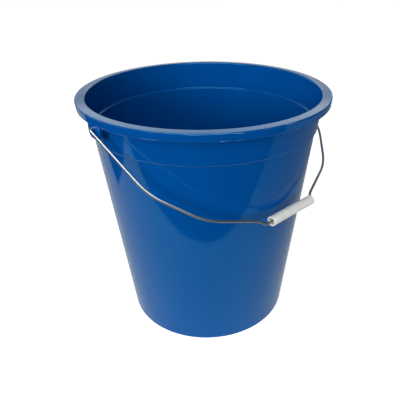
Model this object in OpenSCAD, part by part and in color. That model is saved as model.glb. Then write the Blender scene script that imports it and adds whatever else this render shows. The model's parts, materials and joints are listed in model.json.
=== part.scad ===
// Wash bucket: a one-piece moulded bucket, a wire bail hooked into its two ears and a loose tube grip.
// Frame: Z up from the floor, centred on the bucket's axis, X along the bail's hinge line.
// The bail hangs on the -Y side with its grip just off the wall.

/* [Bucket] */
// Overall height, floor to the crest of the rim
bucket_h = 343; // [330:1:356]
// Outer diameter of the rim
rim_d = 345; // [343:1:352]
// Outer diameter of the base
base_d = 244; // [230:1:250]
// Thickness of the moulded wall
wall_t = 2.4; // [1.8:0.1:3]
// Height of the step where the wall widens into the collar
step_z = 298; // [290:1:302]
// How far the collar stands out from the wall at the step
step_out = 2.2; // [1.5:0.1:3]
// Depth of the turned-down skirt below the crest of the rim
skirt_drop = 11; // [9:0.5:13]
// Height of the floor's underside above the ground
floor_lift = 4; // [2:0.5:8]

/* [Ears] */
// Width of each ear
ear_w = 27; // [26:1:34]
// How far each ear reaches below the skirt's lower edge
ear_drop = 16; // [14:1:22]
// Depth of the bail's pivot below the crest of the rim
pivot_drop = 13.5; // [13:0.5:16]
// Radial play of the wire in an ear's hole
pivot_play = 0.08; // [0.05:0.01:0.1]

/* [Bail] */
// Diameter of the galvanised wire
wire_d = 3.3; // [2.8:0.1:3.6]
// Distance from the pivot line down to the grip's seat
bail_drop = 196.3; // [195:0.1:198]
// Angle of the hanging bail below the horizontal
bail_tilt = 35.8; // [32:0.1:38.5]
// Length of the straight seat between the two kinks
seat_len = 88; // [86:1:92]

/* [Grip] */
// Length of the tube
grip_len = 80; // [70:1:80]
// Outer diameter of the tube
grip_d = 12.6; // [10:0.2:12.6]
// Thickness of the tube's wall
grip_t = 1.4; // [1:0.1:2]
// How far the tube has slid along its seat
grip_shift = 5.5; // [0:0.5:5.5]

/* [Hidden] */
$fn = 96;

rim_r = rim_d / 2;
base_r = base_d / 2;
rim_fall = 0.8;
rim_edge_r = 1.6;
skirt_t = 2.2;
skirt_lean = 0.9;
skirt_z = bucket_h - skirt_drop;
draft = 0.1094;
wall_r = base_r + draft * step_z;
collar_r = wall_r + step_out;
step_rise = 1.6;
floor_t = 2.8;
foot_w = 3.4;
ledge_z = step_z + 4;

// Outer and inner radius of the collar at a height
function collar_out(z) = collar_r + draft * (z - step_z);
function collar_in(z) = collar_out(z) - wall_t;
function wall_out(z) = base_r + draft * z;
function wall_in(z) = wall_out(z) - wall_t;

// Round surfaces start at this angle, clear of the ears
seam = 90;
ear_t = 3.2;
ear_r = rim_r - 0.5;
ear_corner = 9;
ear_z = skirt_z - ear_drop;
rib_t = 2;
rib_y = ear_w / 2 - 3;
rib_drop = 9;
rib_depth = 12;
rim_root = bucket_h - 1.6;
pivot_z = bucket_h - pivot_drop;

leg_x = rim_r + 5;
hook_x = rim_r - 7.5;
hook_len = 4;
kink = 8.6;
wire_bend = 3.2;
// The straight runs are this much thinner than the bends and end this far inside them
run_slack = 0.01;
run_lap = 0.2;

// Corners of one half of the bail as [across, down, bend radius], from an ear to the seat
half_bail = [
    [leg_x, 0, wire_bend],
    [159.5, 103.6, 80],
    [115, 159.7, 80],
    [seat_len / 2 + kink, bail_drop - kink, kink],
    [seat_len / 2, bail_drop, kink]
];
// Corners of the hook that closes round the ear
hook = [
    [hook_x, hook_len + wire_bend, 0],
    [hook_x, 0, wire_bend]
];
path = concat(
    hook,
    half_bail,
    [for (i = [len(half_bail) - 1:-1:0]) [-half_bail[i][0], half_bail[i][1], half_bail[i][2]]],
    [for (i = [1:-1:0]) [-hook[i][0], hook[i][1], hook[i][2]]]
);

// Angle of travel, unit vector and turn from one corner to the next
function heading(a, b) = atan2(b[1] - a[1], b[0] - a[0]);
function along(a, b) = [b[0] - a[0], b[1] - a[1]] / norm([b[0] - a[0], b[1] - a[1]]);
function turn(a, b) = (b - a + 540) % 360 - 180;

// A sharp outline's corners [x, y, radius] turned into points with round corners
function rounded(p) = [
    for (i = [0:len(p) - 1])
        let (
            a = p[(i + len(p) - 1) % len(p)],
            b = p[i],
            c = p[(i + 1) % len(p)],
            h = heading(a, b),
            bend = turn(h, heading(b, c)),
            side = bend < 0 ? -1 : 1,
            cut = b[2] * tan(abs(bend) / 2),
            start = [b[0], b[1]] - along(a, b) * cut,
            centre = start + b[2] * side * [-sin(h), cos(h)],
            steps = b[2] == 0 ? 0 : max(2, ceil(abs(bend) / 15))
        )
        for (k = [0:steps])
            steps == 0
                ? [b[0], b[1]]
                : centre + b[2] * side * [sin(h + bend * k / steps), -cos(h + bend * k / steps)]
];

// Half section of the bucket's wall, from the middle of the underside round to the middle of the floor
section = [
    [0, floor_lift, 0],
    [base_r - foot_w, floor_lift, 1.2],
    [base_r - foot_w + 0.4, 0, 0.6],
    [base_r, 0, 1],
    [wall_r - 0.2, step_z - step_rise, 1.2],
    [collar_r, step_z, 1],
    [collar_out(bucket_h - wall_t), bucket_h - wall_t, 2],
    [rim_r - skirt_t, bucket_h - wall_t - rim_fall, 1.2],
    [rim_r - skirt_t - skirt_lean, skirt_z, 0.5],
    [rim_r - skirt_lean, skirt_z, 0.7],
    [rim_r, bucket_h - rim_fall, rim_edge_r],
    [collar_in(bucket_h), bucket_h, 2.6],
    [collar_in(ledge_z), ledge_z, 1.6],
    [wall_in(ledge_z - 1) - 0.1, ledge_z - 1, 1],
    [wall_in(floor_lift + floor_t), floor_lift + floor_t, 5],
    [0, floor_lift + floor_t, 0]
];

// One ear on the +X side: a plate that carries the skirt down, its hole and two ribs back to the collar
module ear_plate() {
    intersection() {
        rotate([0, 0, seam])
            difference() {
                cylinder(h = bucket_h - wall_t, r = ear_r);
                cylinder(h = bucket_h, r = ear_r - ear_t);
            }
        translate([0, 0, ear_z])
            rotate([90, 0, 90])
                linear_extrude(height = rim_r + 1)
                    polygon(rounded([
                        [-ear_w / 2, 0, ear_corner],
                        [ear_w / 2, 0, ear_corner],
                        [ear_w / 2, ear_drop + wall_t + 2, 0],
                        [-ear_w / 2, ear_drop + wall_t + 2, 0]
                    ]));
    }
}

module ear_rib(y) {
    intersection() {
        rotate([0, 0, seam])
            difference() {
                cylinder(h = bucket_h, r = ear_r - 1);
                cylinder(h = bucket_h, r1 = wall_out(0), r2 = wall_out(bucket_h) + 1);
            }
        translate([collar_r - rib_depth, y - rib_t / 2, skirt_z - rib_drop])
            cube([rim_r, rib_t, rim_root - skirt_z + rib_drop]);
    }
}

module ear() {
    difference() {
        union() {
            ear_plate();
            ear_rib(rib_y);
            ear_rib(-rib_y);
        }
        translate([hook_x, 0, pivot_z])
            rotate([0, 90, 0])
                cylinder(h = leg_x - hook_x, r = wire_d / 2 + pivot_play);
    }
}

// The bucket: one moulding with its foot ring, step, collar, rim, skirt and ears
module bucket() {
    color([0, 0.33, 0.62])
        union() {
            rotate([0, 0, seam])
                rotate_extrude($fn = 180)
                    polygon(rounded(section));
            ear();
            mirror([1, 0, 0])
                ear();
        }
}

module wire_run(a, b, lap_a, lap_b) {
    run = norm([b[0] - a[0], b[1] - a[1]]) + lap_a + lap_b;
    translate([a[0], a[1], 0])
        rotate([0, 0, heading(a, b)])
            translate([-lap_a, 0, 0])
                rotate([0, 90, 0])
                    cylinder(h = run, r = wire_d / 2 - run_slack, $fn = 32);
}

module wire_arc(centre, from, bend, radius) {
    translate([centre[0], centre[1], 0])
        rotate([0, 0, bend < 0 ? from + bend : from])
            rotate_extrude(angle = abs(bend), $fn = 96)
                translate([radius, 0])
                    circle(r = wire_d / 2, $fn = 32);
}

// How much of a straight run a corner's bend takes up
function cut_at(i) =
    i == 0 || i == len(path) - 1 ? 0
    : path[i][2] * tan(abs(turn(heading(path[i - 1], path[i]), heading(path[i], path[i + 1]))) / 2);

// The bail: one wire, drawn flat with X across and Y down its plane, then hung from the pivots
module bail() {
    color([0.78, 0.78, 0.74])
        translate([0, 0, pivot_z])
            rotate([180 + bail_tilt, 0, 0])
                union() {
                    for (i = [0:len(path) - 2])
                        wire_run(
                            [path[i][0], path[i][1]] + along(path[i], path[i + 1]) * cut_at(i),
                            [path[i + 1][0], path[i + 1][1]] - along(path[i], path[i + 1]) * cut_at(i + 1),
                            i == 0 ? 0 : run_lap,
                            i == len(path) - 2 ? 0 : run_lap
                        );
                    for (i = [1:len(path) - 2]) {
                        h = heading(path[i - 1], path[i]);
                        bend = turn(h, heading(path[i], path[i + 1]));
                        side = bend < 0 ? -1 : 1;
                        start = [path[i][0], path[i][1]] - along(path[i - 1], path[i]) * cut_at(i);
                        centre = start + path[i][2] * side * [-sin(h), cos(h)];
                        wire_arc(centre, h - 90 * side, bend, path[i][2]);
                    }
                }
}

// The grip: a cut length of tube, loose on the seat
module grip() {
    color([0.93, 0.92, 0.88])
        translate([grip_shift, 0, pivot_z])
            rotate([180 + bail_tilt, 0, 0])
                translate([-grip_len / 2, bail_drop, 0])
                    rotate([0, 90, 0])
                        rotate_extrude($fn = 64)
                            polygon(rounded([
                                [grip_d / 2 - grip_t, 0, 0.3],
                                [grip_d / 2, 0, 0.4],
                                [grip_d / 2, grip_len, 0.4],
                                [grip_d / 2 - grip_t, grip_len, 0.3]
                            ]));
}

bucket();
bail();
grip();
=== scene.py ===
import json
from math import atan2, ceil, cos, pi, radians, sin, sqrt, tan

import bmesh
import bpy
from mathutils import Matrix, Vector


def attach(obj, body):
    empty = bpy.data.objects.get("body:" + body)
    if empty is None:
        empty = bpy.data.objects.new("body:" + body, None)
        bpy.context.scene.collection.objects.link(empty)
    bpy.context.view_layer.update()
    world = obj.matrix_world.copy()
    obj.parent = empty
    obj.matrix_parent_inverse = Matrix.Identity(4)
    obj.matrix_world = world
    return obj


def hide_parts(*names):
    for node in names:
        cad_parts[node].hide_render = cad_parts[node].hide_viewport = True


mm = 0.001

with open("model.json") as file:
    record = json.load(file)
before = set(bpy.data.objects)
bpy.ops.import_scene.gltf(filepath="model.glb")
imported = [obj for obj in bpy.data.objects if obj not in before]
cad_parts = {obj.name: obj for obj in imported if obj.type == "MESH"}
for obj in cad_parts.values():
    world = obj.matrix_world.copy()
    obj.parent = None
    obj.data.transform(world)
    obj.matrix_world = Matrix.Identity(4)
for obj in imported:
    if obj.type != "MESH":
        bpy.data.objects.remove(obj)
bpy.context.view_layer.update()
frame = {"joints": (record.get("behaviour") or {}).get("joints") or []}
joints = {joint["name"]: joint for joint in frame["joints"]}
pivot = Vector(joints["bail_swing"]["pos_m"])
seat = Vector(joints["grip_spin"]["pos_m"])
bailDrop = sqrt(seat.y ** 2 + (pivot.z - seat.z) ** 2) / mm
bailTilt = atan2(pivot.z - seat.z, -seat.y)
pivotHeight = pivot.z / mm
print("frame loaded: bail drop", round(bailDrop, 1), "mm, tilt", round(bailTilt * 180 / pi, 1), "degrees")


def cornerReach(before, corner, after, bend):
    # how far from a corner its round bend of that radius starts
    turn = (corner - before).angle(after - corner)
    return bend * tan(turn / 2)


def drawOutline(bm, corners, closed=False, segments=6):
    # corners are [x, y, z, bend radius]; a chain of wire edges whose corners are rounded by vertex bevels
    points = [Vector(c[:3]) for c in corners]
    verts = [bm.verts.new(p) for p in points]
    count = len(points)
    for i in range(count if closed else count - 1):
        bm.edges.new((verts[i], verts[(i + 1) % count]))
    for i in range(count):
        atEnd = not closed and i in (0, count - 1)
        if atEnd or corners[i][3] == 0:
            continue
        reach = cornerReach(points[i - 1], points[i], points[(i + 1) % count], corners[i][3])
        bmesh.ops.bevel(bm, geom=[verts[i]], affect="VERTICES", offset=reach, offset_type="OFFSET",
                        segments=segments, profile=0.5, material=-1)


def makePiece(name, bm, material, body, node, sharpAngle=40):
    bmesh.ops.scale(bm, vec=(mm, mm, mm), verts=bm.verts)
    bmesh.ops.remove_doubles(bm, verts=bm.verts, dist=0.005 * mm)
    bmesh.ops.recalc_face_normals(bm, faces=bm.faces)
    mesh = bpy.data.meshes.new(name)
    bm.to_mesh(mesh)
    bm.free()
    mesh.materials.append(material)
    mesh.shade_smooth()
    mesh.set_sharp_from_angle(angle=radians(sharpAngle))
    piece = bpy.data.objects.new(name, mesh)
    bpy.context.scene.collection.objects.link(piece)
    evenShading = piece.modifiers.new("evenShading", "WEIGHTED_NORMAL")
    evenShading.keep_sharp = True
    evenShading.weight = 100
    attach(piece, body)
    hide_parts(node)
    return piece


def linear(hexColour):
    # sRGB hex to the linear colour that a shader wants
    parts = [int(hexColour[i:i + 2], 16) / 255 for i in (1, 3, 5)]
    return [p / 12.92 if p <= 0.04045 else ((p + 0.055) / 1.055) ** 2.4 for p in parts] + [1]


def newMaterial(name):
    material = bpy.data.materials.new(name)
    material.use_nodes = True
    material.node_tree.nodes.clear()
    return material, material.node_tree


def addNode(tree, kind, settings=None, links=None):
    # settings are attributes or sockets by name, links are sockets by name or number
    node = tree.nodes.new(kind)
    for key, value in (settings or {}).items():
        if isinstance(key, str) and hasattr(node, key):
            setattr(node, key, value)
        else:
            node.inputs[key].default_value = value
    for key, source in (links or {}).items():
        tree.links.new(source, node.inputs[key])
    return node


bucket = dict(
    height=343, rimRadius=172.5, baseRadius=122, draft=0.1094, wall=2.4,
    stepHeight=298, stepOut=2.2, stepRise=1.6, stepDraft=0.2, ledgeRise=4, ledgeDrop=1, ledgeDraft=0.1,
    skirtDrop=11, skirtWall=2.2, skirtLean=0.9, rimFall=0.8,
    floorLift=4, floorWall=2.8, footWidth=3.4, footDraft=0.4,
    gateRadius=2, gateLength=1,  # the sprue's stub under the floor
    wellRadius=9, wellDepth=0.6, wellSlope=0.8,  # the shallow well round it
    turns=256,
)

polypropylene = dict(
    colour="#0052A1", deepColour="#004E9A",  # cobalt masterbatch, hardly mixed unevenly
    nickAndHighlightColour="#9FC4EC",  # stress-whitened plastic where the rim was trimmed and knocked, also used as painted highlight along the rim's top outer edge
    dustColour="#8FB0D6",
    roughness=0.075, ior=1.49,
    glossTint="#7CFFFF",  # the pigment is bluer than a screen can show, so red is held back
    swirlSize=60,  # mm, slow colour drift of the moulding
    peelSize=14, peelHeight=0.02,  # mm, the slight waviness of a moulded gloss wall
    # each level is the noise where a mark begins, where it is full, and how pale it then is
    nickLength=13, nickWidth=0.9, nickDepth=0.25,  # mm, a cut along the rim's edges, and the same size for the painted highlight dashes on its top edge
    nickAndHighlightLevel=(0.58, 0.66, 0.8), nickRoughness=0.5,
    nickReach=(4.5, 2.5), nickCrest=(2.6, 1.8),  # mm in from the rim and below its top, where nicks and painted highlight dashes fade in
    nickSkirt=0.5, nickBand=1.1,  # mm above the skirt's edge, and how far either side of that nicks lie
    knockSize=38, knockLevel=(0.46, 0.60),  # mm, a stretch of rim that was knocked, where nicks and painted highlight dashes gather
    scratchLength=110, scratchWidth=0.9, scratchLean=38,  # mm and degrees, wider than real so that it shows
    scratchLevel=(0.74, 0.82, 0.22),
    scuffLength=5, scuffWidth=1.2, scuffLevel=(0.72, 0.80, 0.22),  # mm, short marks where things rubbed
    dustSpacing=19, dustSize=0.5, dustLevel=0.45,  # mm
)


def bluePolypropylene():
    # injection-moulded polypropylene: a deep even blue under a clear wavy gloss, whitened where nicked,
    # with painted highlight dashes along the rim's top outer edge
    p, b = polypropylene, bucket
    material, tree = newMaterial("blue moulded polypropylene")
    place = addNode(tree, "ShaderNodeTexCoord").outputs["Object"]
    height = addNode(tree, "ShaderNodeSeparateXYZ", {}, {0: place}).outputs["Z"]
    flat = addNode(tree, "ShaderNodeVectorMath", {"operation": "MULTIPLY", 1: (1, 1, 0)},
                   {0: place}).outputs[0]
    radius = addNode(tree, "ShaderNodeVectorMath", {"operation": "LENGTH"}, {0: flat}).outputs["Value"]

    # the wall unrolled: round it, up it and out from the axis, in metres, with its seam at the back
    turned = addNode(tree, "ShaderNodeMapping", {"Rotation": (0, 0, pi / 2)}, {"Vector": flat}).outputs[0]
    angle = addNode(tree, "ShaderNodeTexGradient", {"gradient_type": "RADIAL"},
                    {"Vector": turned}).outputs["Fac"]
    girth = 2 * pi * b["rimRadius"] * mm
    arc = addNode(tree, "ShaderNodeMath", {"operation": "MULTIPLY", 1: girth}, {0: angle}).outputs[0]
    unrolled = addNode(tree, "ShaderNodeCombineXYZ", {}, {0: arc, 1: height, 2: radius}).outputs[0]

    swirl = addNode(tree, "ShaderNodeTexNoise", {"Scale": 1 / (p["swirlSize"] * mm), "Detail": 3.0},
                    {"Vector": place}).outputs["Fac"]
    body = addNode(tree, "ShaderNodeMix",
                   {"data_type": "RGBA", 6: linear(p["colour"]), 7: linear(p["deepColour"])},
                   {0: swirl}).outputs[2]

    # pale dashes run along the two outer edges of the rim, thicker in the stretches that were knocked:
    # whitened nicks, and along the top outer edge also painted highlight
    rim, crest, skirtEdge = b["rimRadius"], b["height"], b["height"] - b["skirtDrop"]
    start, full = p["nickReach"]
    outside = addNode(tree, "ShaderNodeMapRange",
                      {"From Min": (rim - start) * mm, "From Max": (rim - full) * mm},
                      {"Value": radius}).outputs[0]
    start, full = p["nickCrest"]
    topEdge = addNode(tree, "ShaderNodeMapRange",
                      {"From Min": (crest - start) * mm, "From Max": (crest - full) * mm},
                      {"Value": height}).outputs[0]
    lowEdge = addNode(tree, "ShaderNodeMath",
                      {"operation": "COMPARE", 1: (skirtEdge + p["nickSkirt"]) * mm, 2: p["nickBand"] * mm},
                      {0: height}).outputs[0]
    edges = addNode(tree, "ShaderNodeMath", {"operation": "MAXIMUM"}, {0: topEdge, 1: lowEdge}).outputs[0]
    edges = addNode(tree, "ShaderNodeMath", {"operation": "MULTIPLY"}, {0: edges, 1: outside}).outputs[0]
    along, across = 1 / (p["nickLength"] * mm), 1 / (p["nickWidth"] * mm)
    paleDashes = addNode(tree, "ShaderNodeMapping", {"Scale": (along, across, across)},
                   {"Vector": unrolled}).outputs[0]
    paleDashes = addNode(tree, "ShaderNodeTexNoise", {"Scale": 1.0, "Detail": 3.0},
                   {"Vector": paleDashes}).outputs["Fac"]
    start, full, pale = p["nickAndHighlightLevel"]
    paleDashes = addNode(tree, "ShaderNodeMapRange", {"From Min": start, "From Max": full, "To Max": pale},
                   {"Value": paleDashes}).outputs[0]
    knocks = addNode(tree, "ShaderNodeTexNoise", {"Scale": 1 / (p["knockSize"] * mm), "Detail": 1.0},
                     {"Vector": place}).outputs["Fac"]
    start, full = p["knockLevel"]
    knocked = addNode(tree, "ShaderNodeMapRange", {"From Min": start, "From Max": full},
                      {"Value": knocks}).outputs[0]
    paleDashes = addNode(tree, "ShaderNodeMath", {"operation": "MULTIPLY"}, {0: paleDashes, 1: knocked}).outputs[0]
    # the pale mark is whitened nicks on both edges and, along the rim's top outer edge, painted highlight
    # as well
    nicksAndHighlights = addNode(tree, "ShaderNodeMath", {"operation": "MULTIPLY"}, {0: paleDashes, 1: edges}).outputs[0]

    # a few long hairline scratches lean across the wall
    lean = addNode(tree, "ShaderNodeVectorRotate",
                   {"rotation_type": "Z_AXIS", "Angle": radians(p["scratchLean"])},
                   {"Vector": unrolled}).outputs[0]
    along, across = 1 / (p["scratchLength"] * mm), 1 / (p["scratchWidth"] * mm)
    lines = addNode(tree, "ShaderNodeMapping", {"Scale": (across, along, 0)}, {"Vector": lean}).outputs[0]
    lines = addNode(tree, "ShaderNodeTexNoise", {"Scale": 1.0, "Detail": 1.0},
                    {"Vector": lines}).outputs["Fac"]
    start, full, pale = p["scratchLevel"]
    lines = addNode(tree, "ShaderNodeMapRange", {"From Min": start, "From Max": full, "To Max": pale},
                    {"Value": lines}).outputs[0]

    # short scuffs run up and down
    along, across = 1 / (p["scuffLength"] * mm), 1 / (p["scuffWidth"] * mm)
    scuffs = addNode(tree, "ShaderNodeMapping", {"Scale": (across, along, 0)},
                     {"Vector": unrolled}).outputs[0]
    scuffs = addNode(tree, "ShaderNodeTexNoise", {"Scale": 1.0, "Detail": 2.0},
                     {"Vector": scuffs}).outputs["Fac"]
    start, full, pale = p["scuffLevel"]
    scuffs = addNode(tree, "ShaderNodeMapRange", {"From Min": start, "From Max": full, "To Max": pale},
                     {"Value": scuffs}).outputs[0]
    scratches = addNode(tree, "ShaderNodeMath", {"operation": "MAXIMUM"}, {0: lines, 1: scuffs}).outputs[0]

    # loose specks of dust
    cells = addNode(tree, "ShaderNodeTexVoronoi", {"Scale": 1 / (p["dustSpacing"] * mm)},
                    {"Vector": place}).outputs["Distance"]
    speck = p["dustSize"] / p["dustSpacing"] / 2
    dust = addNode(tree, "ShaderNodeMapRange",
                   {"From Min": speck, "From Max": speck * 0.5, "To Max": p["dustLevel"]},
                   {"Value": cells}).outputs[0]
    marks = addNode(tree, "ShaderNodeMath", {"operation": "MAXIMUM"}, {0: dust, 1: scratches}).outputs[0]

    dusty = addNode(tree, "ShaderNodeMix", {"data_type": "RGBA", 7: linear(p["dustColour"])},
                    {0: marks, 6: body}).outputs[2]
    # the pale colour paints the whitened nicks and the painted highlight dashes on the rim
    surface = addNode(tree, "ShaderNodeMix", {"data_type": "RGBA", 7: linear(p["nickAndHighlightColour"])},
                      {0: nicksAndHighlights, 6: dusty}).outputs[2]
    gloss = addNode(tree, "ShaderNodeMapRange", {"To Min": p["roughness"], "To Max": p["nickRoughness"]},
                    {"Value": nicksAndHighlights}).outputs[0]
    waves = addNode(tree, "ShaderNodeTexNoise", {"Scale": 1 / (p["peelSize"] * mm), "Detail": 1.0},
                    {"Vector": place}).outputs["Fac"]
    wavy = addNode(tree, "ShaderNodeBump", {"Strength": 1.0, "Distance": p["peelHeight"] * mm},
                   {"Height": waves}).outputs[0]
    grooves = addNode(tree, "ShaderNodeMath", {"operation": "MAXIMUM"}, {0: nicksAndHighlights, 1: scratches}).outputs[0]
    nicked = addNode(tree, "ShaderNodeBump", {"Strength": 0.6, "Distance": p["nickDepth"] * mm},
                     {"Height": grooves, "Normal": wavy}).outputs[0]
    shader = addNode(tree, "ShaderNodeBsdfPrincipled",
                     {"IOR": p["ior"], "Specular Tint": linear(p["glossTint"])},
                     {"Base Color": surface, "Roughness": gloss, "Normal": nicked})
    addNode(tree, "ShaderNodeOutputMaterial", {}, {"Surface": shader.outputs[0]})
    return material


galvanised = dict(
    bright="#BDC1C2", dull="#9A9E9E",  # zinc, fresh and already dulled
    roughness=0.3, dullRoughness=0.4,
    spangle=2.4, dullLevel=(0.45, 0.68),  # mm, a dull fleck, and the noise where it begins and is full
    drawLines=0.35, drawDepth=0.03,  # mm, drawing marks, coarser than real so that they show
)


def galvanisedWire():
    # hot-dip galvanised drawn steel: a soft silver with dull flecks and fine marks along the wire
    g = galvanised
    material, tree = newMaterial("galvanised steel wire")
    place = addNode(tree, "ShaderNodeTexCoord").outputs["Object"]
    flecks = addNode(tree, "ShaderNodeTexNoise",
                     {"Scale": 1 / (g["spangle"] * mm), "Detail": 4.0, "Roughness": 0.65},
                     {"Vector": place}).outputs["Fac"]
    start, full = g["dullLevel"]
    dulled = addNode(tree, "ShaderNodeMapRange", {"From Min": start, "From Max": full},
                     {"Value": flecks}).outputs[0]
    colour = addNode(tree, "ShaderNodeMix",
                     {"data_type": "RGBA", 6: linear(g["bright"]), 7: linear(g["dull"])},
                     {0: dulled}).outputs[2]
    rough = addNode(tree, "ShaderNodeMapRange", {"To Min": g["roughness"], "To Max": g["dullRoughness"]},
                    {"Value": dulled}).outputs[0]
    marks = addNode(tree, "ShaderNodeTexNoise", {"Scale": 1 / (g["drawLines"] * mm), "Detail": 2.0},
                    {"Vector": place}).outputs["Fac"]
    bump = addNode(tree, "ShaderNodeBump", {"Strength": 0.35, "Distance": g["drawDepth"] * mm},
                   {"Height": marks}).outputs[0]
    shader = addNode(tree, "ShaderNodeBsdfPrincipled", {"Metallic": 1.0},
                     {"Base Color": colour, "Roughness": rough, "Normal": bump})
    addNode(tree, "ShaderNodeOutputMaterial", {}, {"Surface": shader.outputs[0]})
    return material


polyethylene = dict(
    colour="#FFFFF8", grime="#F0F0E6",  # natural white, a little handled
    roughness=0.38, ior=1.51,
    cloudSize=11, grimeLevel=(0.42, 0.75),  # mm, a handling mark, and the noise where it begins and is full
    grainSize=0.9, grainDepth=0.05,  # mm, the faint texture of an extruded tube
    seeThrough=0.15, seeDepth=2,  # mm, how far light wanders inside the wall
)


def whitePolyethylene():
    # extruded low-density polyethylene: waxy, faintly see-through white with handling marks
    e = polyethylene
    material, tree = newMaterial("white extruded polyethylene")
    place = addNode(tree, "ShaderNodeTexCoord").outputs["Object"]
    clouds = addNode(tree, "ShaderNodeTexNoise",
                     {"Scale": 1 / (e["cloudSize"] * mm), "Detail": 5.0, "Roughness": 0.6},
                     {"Vector": place}).outputs["Fac"]
    start, full = e["grimeLevel"]
    handled = addNode(tree, "ShaderNodeMapRange", {"From Min": start, "From Max": full},
                      {"Value": clouds}).outputs[0]
    colour = addNode(tree, "ShaderNodeMix",
                     {"data_type": "RGBA", 6: linear(e["colour"]), 7: linear(e["grime"])},
                     {0: handled}).outputs[2]
    grain = addNode(tree, "ShaderNodeTexNoise", {"Scale": 1 / (e["grainSize"] * mm), "Detail": 3.0},
                    {"Vector": place}).outputs["Fac"]
    bump = addNode(tree, "ShaderNodeBump", {"Strength": 0.4, "Distance": e["grainDepth"] * mm},
                   {"Height": grain}).outputs[0]
    shader = addNode(tree, "ShaderNodeBsdfPrincipled",
                     {"Roughness": e["roughness"], "IOR": e["ior"], "Subsurface Weight": e["seeThrough"],
                      "Subsurface Scale": e["seeDepth"] * mm, "Subsurface Radius": (1.0, 1.0, 0.9)},
                     {"Base Color": colour, "Normal": bump})
    addNode(tree, "ShaderNodeOutputMaterial", {}, {"Surface": shader.outputs[0]})
    return material


blue = bluePolypropylene()
zinc = galvanisedWire()
white = whitePolyethylene()
print("materials ready")


# the bucket wall: one half section spun about Z, in millimetres
def wallRadius(z):
    return bucket["baseRadius"] + bucket["draft"] * z


def collarRadius(z):
    return wallRadius(z) + bucket["stepOut"]


def makeBucket():
    b = bucket
    step, top, floor = b["stepHeight"], b["height"], b["floorLift"]
    rimUnder = top - b["wall"]
    ledge = step + b["ledgeRise"]
    skirtInner = b["rimRadius"] - b["skirtWall"]
    section = [  # from the axis under the floor, round the outside and back to the axis inside
        [0, 0, floor - b["gateLength"], 0],
        [b["gateRadius"], 0, floor - b["gateLength"], 0.3],
        [b["gateRadius"], 0, floor + b["wellDepth"], 0.3],
        [b["wellRadius"], 0, floor + b["wellDepth"], 0.3],
        [b["wellRadius"] + b["wellSlope"], 0, floor, 0.3],
        [b["baseRadius"] - b["footWidth"], 0, floor, 1.2],
        [b["baseRadius"] - b["footWidth"] + b["footDraft"], 0, 0, 0.6],
        [b["baseRadius"], 0, 0, 1],
        [wallRadius(step) - b["stepDraft"], 0, step - b["stepRise"], 1.2],
        [collarRadius(step), 0, step, 1],
        [collarRadius(rimUnder), 0, rimUnder, 2],
        [skirtInner, 0, rimUnder - b["rimFall"], 1.2],
        [skirtInner - b["skirtLean"], 0, top - b["skirtDrop"], 0.5],
        [b["rimRadius"] - b["skirtLean"], 0, top - b["skirtDrop"], 0.7],
        [b["rimRadius"], 0, top - b["rimFall"], 1.6],
        [collarRadius(top) - b["wall"], 0, top, 2.6],
        [collarRadius(ledge) - b["wall"], 0, ledge, 1.6],
        [wallRadius(ledge - b["ledgeDrop"]) - b["wall"] - b["ledgeDraft"], 0, ledge - b["ledgeDrop"], 1],
        [wallRadius(floor + b["floorWall"]) - b["wall"], 0, floor + b["floorWall"], 5],
        [0, 0, floor + b["floorWall"], 0],
    ]
    bm = bmesh.new()
    drawOutline(bm, section)
    bmesh.ops.spin(bm, geom=bm.verts[:] + bm.edges[:], cent=(0, 0, 0), axis=(0, 0, 1),
                   angle=2 * pi, steps=b["turns"], use_merge=True, use_duplicate=False)
    return makePiece("bucket_wall", bm, blue, "bucket", "bucket")


makeBucket()
print("bucket wall done")

# the ears: a curved plate below the skirt, a hole for the wire and two ribs behind it
ear = dict(width=27, drop=16, rise=4.4, thick=3.2, inset=0.5, corner=9, hole=1.73, slices=14,
           ribThick=2, ribInset=3, ribDrop=9, ribTop=1.6, edge=0.5)


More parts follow.
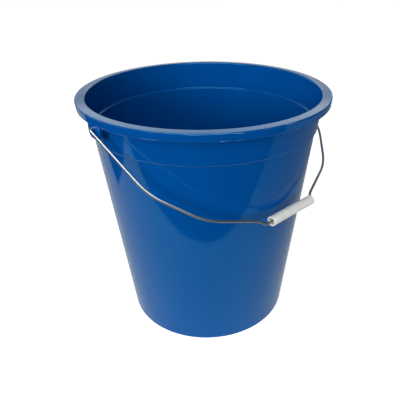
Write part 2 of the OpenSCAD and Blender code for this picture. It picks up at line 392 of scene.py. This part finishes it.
def makeEar(side):
    e, b = ear, bucket
    outer = b["rimRadius"] - e["inset"]
    skirtEdge = b["height"] - b["skirtDrop"]
    low, high, half = skirtEdge - e["drop"], skirtEdge + e["rise"], e["width"] / 2
    bm = bmesh.new()
    drawOutline(bm, [[0, -half, low, e["corner"]], [0, half, low, e["corner"]],
                     [0, half, high, 0], [0, -half, high, 0]], closed=True, segments=12)
    upright = Matrix.Translation((0, 0, pivotHeight)) @ Matrix.Rotation(pi / 2, 4, "Y")
    bmesh.ops.create_circle(bm, cap_ends=False, radius=e["hole"], segments=32, matrix=upright)
    bmesh.ops.triangle_fill(bm, edges=bm.edges[:], use_beauty=True, normal=(1, 0, 0))
    for i in range(1, e["slices"]):
        y = -half + e["width"] * i / e["slices"]
        bmesh.ops.bisect_plane(bm, geom=bm.verts[:] + bm.edges[:] + bm.faces[:], dist=1e-5,
                               plane_co=(0, y, 0), plane_no=(0, 1, 0))
    grown = bmesh.ops.extrude_face_region(bm, geom=bm.faces[:], use_keep_orig=True)["geom"]
    grown = [g for g in grown if isinstance(g, bmesh.types.BMVert)]
    bmesh.ops.translate(bm, vec=(e["thick"], 0, 0), verts=grown)
    for vert in bm.verts:  # wrap the flat plate round the skirt
        radius = outer - e["thick"] + vert.co.x
        vert.co.x = sqrt(radius ** 2 - vert.co.y ** 2)
    ribLow, ribHigh = skirtEdge - e["ribDrop"], b["height"] - e["ribTop"]
    for sign in (-1, 1):
        rib = bmesh.ops.create_cube(bm, size=1)["verts"]
        for vert in rib:
            z = ribHigh if vert.co.z > 0 else ribLow
            # both ends reach half way into the plate and the collar
            vert.co.x = outer - e["thick"] / 2 if vert.co.x > 0 else collarRadius(z) - b["wall"] / 2
            vert.co.y = sign * (half - e["ribInset"]) + vert.co.y * e["ribThick"]
            vert.co.z = z
    if side < 0:
        bmesh.ops.rotate(bm, verts=bm.verts, cent=(0, 0, 0), matrix=Matrix.Rotation(pi, 3, "Z"))
    name = "ear_right" if side > 0 else "ear_left"
    piece = makePiece(name, bm, blue, "bucket", "bucket")
    rounding = piece.modifiers.new("roundEdges", "BEVEL")
    rounding.width = e["edge"] * mm
    rounding.segments = 3
    rounding.angle_limit = radians(50)
    piece.modifiers.move(len(piece.modifiers) - 1, 0)  # edges are rounded before the shading is evened
    return piece


for side in (-1, 1):
    makeEar(side)
print("ears done")

# the bail: one wire drawn flat, X across and Y down its own plane, then hung from the pivots
bail = dict(wire=3.3, sides=24, bendStep=4,  # degrees between rings round a bend
            legX=177.5, hookX=165, hookLength=4, hookBend=3.2, kink=8.6, seatLength=88,
            shoulders=[[159.5, 103.6, 80], [115, 159.7, 80]], endRound=0.5)


def bailCorners():
    w = bail
    half = [[w["hookX"], w["hookLength"] + w["hookBend"], 0], [w["hookX"], 0, w["hookBend"]],
            [w["legX"], 0, w["hookBend"]]] + w["shoulders"]
    half += [[w["seatLength"] / 2 + w["kink"], bailDrop - w["kink"], w["kink"]],
             [w["seatLength"] / 2, bailDrop, w["kink"]]]
    return half + [[-x, y, bend] for x, y, bend in reversed(half)]


def hangBail(bm):
    down = Vector((0, -cos(bailTilt), -sin(bailTilt)))
    across = Vector((1, 0, 0))
    plane = Matrix((across, down, across.cross(down))).transposed().to_4x4()
    bmesh.ops.transform(bm, matrix=Matrix.Translation(pivot / mm) @ plane, verts=bm.verts)


def makeBail():
    w = bail
    corners = bailCorners()
    points = [Vector((x, y, 0)) for x, y, bend in corners]
    count = len(points)
    bm = bmesh.new()
    first = (points[1] - points[0]).normalized()
    turned = Vector((0, 0, 1)).rotation_difference(first).to_matrix().to_4x4()
    bmesh.ops.create_circle(bm, cap_ends=True, radius=w["wire"] / 2, segments=w["sides"],
                            matrix=Matrix.Translation(points[0]) @ turned)
    ring = bm.verts[:] + bm.edges[:]
    reach = 0
    for i in range(1, count):
        ahead = (points[i] - points[i - 1]).normalized()
        nextReach = 0
        if i < count - 1:
            nextReach = cornerReach(points[i - 1], points[i], points[i + 1], corners[i][2])
        run = (points[i] - points[i - 1]).length - reach - nextReach
        edges = [g for g in ring if isinstance(g, bmesh.types.BMEdge)]
        ring = bmesh.ops.extrude_edge_only(bm, edges=edges)["geom"]
        ringVerts = [g for g in ring if isinstance(g, bmesh.types.BMVert)]
        bmesh.ops.translate(bm, vec=ahead * run, verts=ringVerts)
        ring = ringVerts + [g for g in ring if isinstance(g, bmesh.types.BMEdge)]
        reach = nextReach
        if i == count - 1:
            break
        after = (points[i + 1] - points[i]).normalized()
        turn = ahead.angle(after)
        side = 1 if ahead.cross(after).z > 0 else -1
        centre = points[i] - ahead * reach + Vector((-ahead.y, ahead.x, 0)) * side * corners[i][2]
        ring = bmesh.ops.spin(bm, geom=ring, cent=centre, axis=(0, 0, side), angle=turn,
                              steps=ceil(turn * 180 / pi / w["bendStep"]), use_duplicate=False)["geom_last"]
    lastEdges = [g for g in ring if isinstance(g, bmesh.types.BMEdge)]
    bmesh.ops.contextual_create(bm, geom=lastEdges)
    # the wire's two cut ends lose their sharp edges
    cutEdges = [edge for face in bm.faces if len(face.verts) > 4 for edge in face.edges]
    bmesh.ops.bevel(bm, geom=cutEdges, affect="EDGES", offset=w["endRound"], segments=3, profile=0.5,
                    material=-1)
    hangBail(bm)
    return makePiece("bail_wire", bm, zinc, "bail", "bail")


makeBail()
print("bail done")

# the grip: a cut length of tube on the seat
grip = dict(length=80, outer=6.3, wall=1.4, cutRound=0.35, turns=72)


def makeGrip():
    g = grip
    half, inner, bend = g["length"] / 2, g["outer"] - g["wall"], g["cutRound"]
    bm = bmesh.new()
    drawOutline(bm, [[-half, inner, 0, bend], [-half, g["outer"], 0, bend],
                     [half, g["outer"], 0, bend], [half, inner, 0, bend]], closed=True, segments=4)
    bmesh.ops.spin(bm, geom=bm.verts[:] + bm.edges[:], cent=(0, 0, 0), axis=(1, 0, 0),
                   angle=2 * pi, steps=g["turns"], use_merge=True, use_duplicate=False)
    bmesh.ops.translate(bm, vec=seat / mm, verts=bm.verts)
    return makePiece("grip_tube", bm, white, "grip", "grip")


makeGrip()
print("grip done")

# the camera, in millimetres and degrees
view = dict(
    distance=613.64, height=512.3, azimuth=41.26, pan=1.748, tilt=28.035, roll=-0.407,
    focal=40.74, sensor=36,
    shiftRight=-0.0463, shiftUp=-0.0267,  # the shift keeps the bucket where it stands in the frame
)


def makeCamera():
    v = view
    turn = radians(v["azimuth"])
    heading, tilt, roll = turn + radians(v["pan"]), radians(v["tilt"]), radians(v["roll"])
    forward = Vector((sin(heading) * cos(tilt), cos(heading) * cos(tilt), -sin(tilt)))
    level = Vector((cos(heading), -sin(heading), 0))
    upward = level.cross(forward)
    right = level * cos(roll) + upward * sin(roll)
    up = upward * cos(roll) - level * sin(roll)
    camera = bpy.data.objects.new("camera", bpy.data.cameras.new("camera"))
    camera.data.sensor_width = v["sensor"]
    camera.data.lens = v["focal"]
    camera.data.shift_x = v["shiftRight"]
    camera.data.shift_y = v["shiftUp"]
    camera.data.clip_start = 0.01
    place = Vector((-v["distance"] * sin(turn), -v["distance"] * cos(turn), v["height"])) * mm
    camera.matrix_world = Matrix.Translation(place) @ Matrix((right, up, -forward)).transposed().to_4x4()
    bpy.context.scene.collection.objects.link(camera)
    bpy.context.scene.camera = camera
    return Vector((sin(turn), cos(turn), 0)), Vector((cos(turn), -sin(turn), 0))


away, rightward = makeCamera()

# the stage: white paper that only the camera sees, and a grey sheet that the bucket is lit by and mirrors
stage = dict(
    paperColour="#F4F4F4", paperGlow=0.75, paperReach=5, paperBend=2, paperHeight=6,  # metres
    sheetColour="#CDD1C8", sheetDark="#7E8888", sheetGlow=0.35, sheetDrop=1,  # mm below the foot
    sheetFade=(0.05, 0.6),  # metres to the right, between which the grey sheet darkens
    # outline of the grey sheet, millimetres towards the viewer and to the right; the room beyond it is dark
    sheetOutline=[(315, 3000), (315, -60), (305, -148), (297, -221), (257, -414), (212, -705),
                  (88, -578), (-74, -469), (-227, -622), (-3000, -3400), (-3000, 3000)],
)


def stagePlace(front, right, height):
    return rightward * right - away * front + Vector((0, 0, height))


def makePaper():
    # a round sweep of paper: a flat floor that bends up into the background
    s = stage
    bm = bmesh.new()
    drawOutline(bm, [[0, 0, 0, 0], [s["paperReach"], 0, 0, s["paperBend"]],
                     [s["paperReach"], 0, s["paperHeight"], 0]], segments=12)
    bmesh.ops.spin(bm, geom=bm.verts[:] + bm.edges[:], cent=(0, 0, 0), axis=(0, 0, 1),
                   angle=2 * pi, steps=64, use_merge=True, use_duplicate=False)
    bmesh.ops.remove_doubles(bm, verts=bm.verts, dist=mm)
    return stageSheet("white_paper", bm, whitePaper())


def makeSheet(name, corners, material):
    bm = bmesh.new()
    bm.faces.new([bm.verts.new(c) for c in corners])
    return stageSheet(name, bm, material)


def stageSheet(name, bm, material):
    bmesh.ops.recalc_face_normals(bm, faces=bm.faces)
    mesh = bpy.data.meshes.new(name)
    bm.to_mesh(mesh)
    bm.free()
    mesh.materials.append(material)
    sheet = bpy.data.objects.new(name, mesh)
    bpy.context.scene.collection.objects.link(sheet)
    return sheet


def whitePaper():
    # matte paper, an even white
    s = stage
    material, tree = newMaterial("white paper")
    shader = addNode(tree, "ShaderNodeBsdfPrincipled",
                     {"Base Color": linear(s["paperColour"]), "Roughness": 0.8, "Specular IOR Level": 0.0,
                      "Emission Color": [1, 1, 1, 1], "Emission Strength": s["paperGlow"]})
    addNode(tree, "ShaderNodeOutputMaterial", {}, {"Surface": shader.outputs[0]})
    return material


def greySheet():
    # matte grey paper that the gloss wall mirrors, darker to the right where less light falls on it
    s = stage
    material, tree = newMaterial("grey sheet")
    place = addNode(tree, "ShaderNodeTexCoord").outputs["Object"]
    across = addNode(tree, "ShaderNodeVectorMath", {"operation": "DOT_PRODUCT", 1: rightward},
                     {0: place}).outputs["Value"]
    start, end = s["sheetFade"]
    fade = addNode(tree, "ShaderNodeMapRange",
                   {"interpolation_type": "SMOOTHSTEP", "From Min": start, "From Max": end},
                   {"Value": across}).outputs[0]
    colour = addNode(tree, "ShaderNodeMix",
                     {"data_type": "RGBA", 6: linear(s["sheetColour"]), 7: linear(s["sheetDark"])},
                     {0: fade}).outputs[2]
    shader = addNode(tree, "ShaderNodeBsdfPrincipled",
                     {"Roughness": 0.8, "Specular IOR Level": 0.0, "Emission Strength": s["sheetGlow"]},
                     {"Base Color": colour, "Emission Color": colour})
    addNode(tree, "ShaderNodeOutputMaterial", {}, {"Surface": shader.outputs[0]})
    return material


# the sky; each pair is where a change begins and ends, going up, away from the viewer or to the right
sky = dict(
    colour="#F6F8FA",
    horizon=0.85, top=0.30, climb=(0.1, 0.8),
    band=1.2, bandStart=(0.27, 0.34), bandEnd=(0.6, 0.42), bandBehind=(0.5, 0.8),  # brighter behind the rim
    front=0.5, frontEdge=(-0.7, -0.1),
    right=0.15, rightEdge=(0.3, 0.8),
    left=0.65, leftEdge=(-0.7, -0.1),
    below=0.012, belowEdge=(-0.01, 0.01),  # the dark room round the sheet
)


def makeSky():
    s = sky
    world = bpy.data.worlds.new("soft studio")
    bpy.context.scene.world = world
    world.use_nodes = True
    tree = world.node_tree
    tree.nodes.clear()
    look = addNode(tree, "ShaderNodeTexCoord").outputs["Generated"]
    height = addNode(tree, "ShaderNodeSeparateXYZ", {}, {0: look}).outputs["Z"]
    facing = addNode(tree, "ShaderNodeVectorMath", {"operation": "DOT_PRODUCT", 1: away},
                     {0: look}).outputs["Value"]
    across = addNode(tree, "ShaderNodeVectorMath", {"operation": "DOT_PRODUCT", 1: rightward},
                     {0: look}).outputs["Value"]

    # darker towards the top, with a bright band low down behind the bucket
    start, end = s["climb"]
    climb = addNode(tree, "ShaderNodeMapRange",
                    {"interpolation_type": "SMOOTHSTEP", "From Min": start, "From Max": end,
                     "To Min": s["horizon"], "To Max": s["top"]}, {"Value": height}).outputs[0]
    start, end = s["bandStart"]
    bandUp = addNode(tree, "ShaderNodeMapRange",
                     {"interpolation_type": "SMOOTHSTEP", "From Min": start, "From Max": end,
                      "To Max": s["band"]}, {"Value": height}).outputs[0]
    start, end = s["bandEnd"]
    bandDown = addNode(tree, "ShaderNodeMapRange",
                       {"interpolation_type": "SMOOTHSTEP", "From Min": start, "From Max": end},
                       {"Value": height}).outputs[0]
    band = addNode(tree, "ShaderNodeMath", {"operation": "MULTIPLY"}, {0: bandUp, 1: bandDown}).outputs[0]
    start, end = s["bandBehind"]
    behind = addNode(tree, "ShaderNodeMapRange",
                     {"interpolation_type": "SMOOTHSTEP", "From Min": start, "From Max": end},
                     {"Value": facing}).outputs[0]
    backBand = addNode(tree, "ShaderNodeMath", {"operation": "MULTIPLY"}, {0: band, 1: behind}).outputs[0]

    # weaker on the viewer's side, to the left and most of all to the right
    start, end = s["frontEdge"]
    front = addNode(tree, "ShaderNodeMapRange",
                    {"interpolation_type": "SMOOTHSTEP", "From Min": start, "From Max": end,
                     "To Min": s["front"], "To Max": 1.0}, {"Value": facing}).outputs[0]
    start, end = s["rightEdge"]
    right = addNode(tree, "ShaderNodeMapRange",
                    {"interpolation_type": "SMOOTHSTEP", "From Min": start, "From Max": end,
                     "To Min": 1.0, "To Max": s["right"]}, {"Value": across}).outputs[0]
    start, end = s["leftEdge"]
    left = addNode(tree, "ShaderNodeMapRange",
                   {"interpolation_type": "SMOOTHSTEP", "From Min": start, "From Max": end,
                    "To Min": s["left"]}, {"Value": across}).outputs[0]
    flanks = addNode(tree, "ShaderNodeMath", {"operation": "MULTIPLY"}, {0: left, 1: right}).outputs[0]
    level = addNode(tree, "ShaderNodeMath", {"operation": "MULTIPLY_ADD"},
                    {0: climb, 1: front, 2: backBand}).outputs[0]
    level = addNode(tree, "ShaderNodeMath", {"operation": "MULTIPLY"}, {0: level, 1: flanks}).outputs[0]

    start, end = s["belowEdge"]
    above = addNode(tree, "ShaderNodeMapRange", {"From Min": start, "From Max": end},
                    {"Value": height}).outputs[0]
    lit = addNode(tree, "ShaderNodeMix", {"data_type": "FLOAT", 2: s["below"]},
                  {0: above, 3: level}).outputs[0]
    shade = addNode(tree, "ShaderNodeBackground", {"Color": linear(s["colour"])}, {"Strength": lit})
    addNode(tree, "ShaderNodeOutputWorld", {}, {"Surface": shade.outputs[0]})


lamps = dict(
    colour="#FCFDFF", aim=0.25,  # metres up the bucket
    # three light the bucket without being mirrored in it, and the strip overhead shows only as gloss
    places=dict(  # metres and watts
        window=dict(front=1.5, right=-0.95, height=0.72, width=1.2, tall=0.5, power=17, use="light"),
        ceiling=dict(front=1.55, right=-0.4, height=1.45, width=1.0, tall=1.0, power=13, use="light"),
        card=dict(front=0.3, right=1.1, height=0.14, width=0.5, tall=0.16, power=3.2, use="light"),
        strip=dict(front=0.85, right=-0.2, height=1.5, width=1.7, tall=0.8, power=22, use="gloss"),
    ),
)


def makeLamp(name, place):
    light = bpy.data.lights.new(name, "AREA")
    light.shape = "RECTANGLE"
    light.size, light.size_y = place["width"], place["tall"]
    light.energy = place["power"]
    light.color = linear(lamps["colour"])[:3]
    lamp = bpy.data.objects.new(name, light)
    lamp.location = stagePlace(place["front"], place["right"], place["height"])
    target = Vector((0, 0, lamps["aim"]))
    lamp.rotation_euler = (target - lamp.location).to_track_quat("-Z", "Y").to_euler()
    lamp.visible_glossy = place["use"] != "light"
    lamp.visible_diffuse = place["use"] != "gloss"
    bpy.context.scene.collection.objects.link(lamp)


def makeStage():
    s = stage
    paper = makePaper()
    paper.visible_diffuse = False
    paper.visible_glossy = False
    paper.visible_transmission = False
    paper.visible_shadow = False
    corners = [stagePlace(front * mm, right * mm, -s["sheetDrop"] * mm)
               for front, right in s["sheetOutline"]]
    sheet = makeSheet("grey_sheet", corners, greySheet())
    sheet.visible_camera = False
    for name, place in lamps["places"].items():
        makeLamp(name, place)
    makeSky()
    bpy.context.scene.view_settings.view_transform = "Standard"


makeStage()
print("stage done")
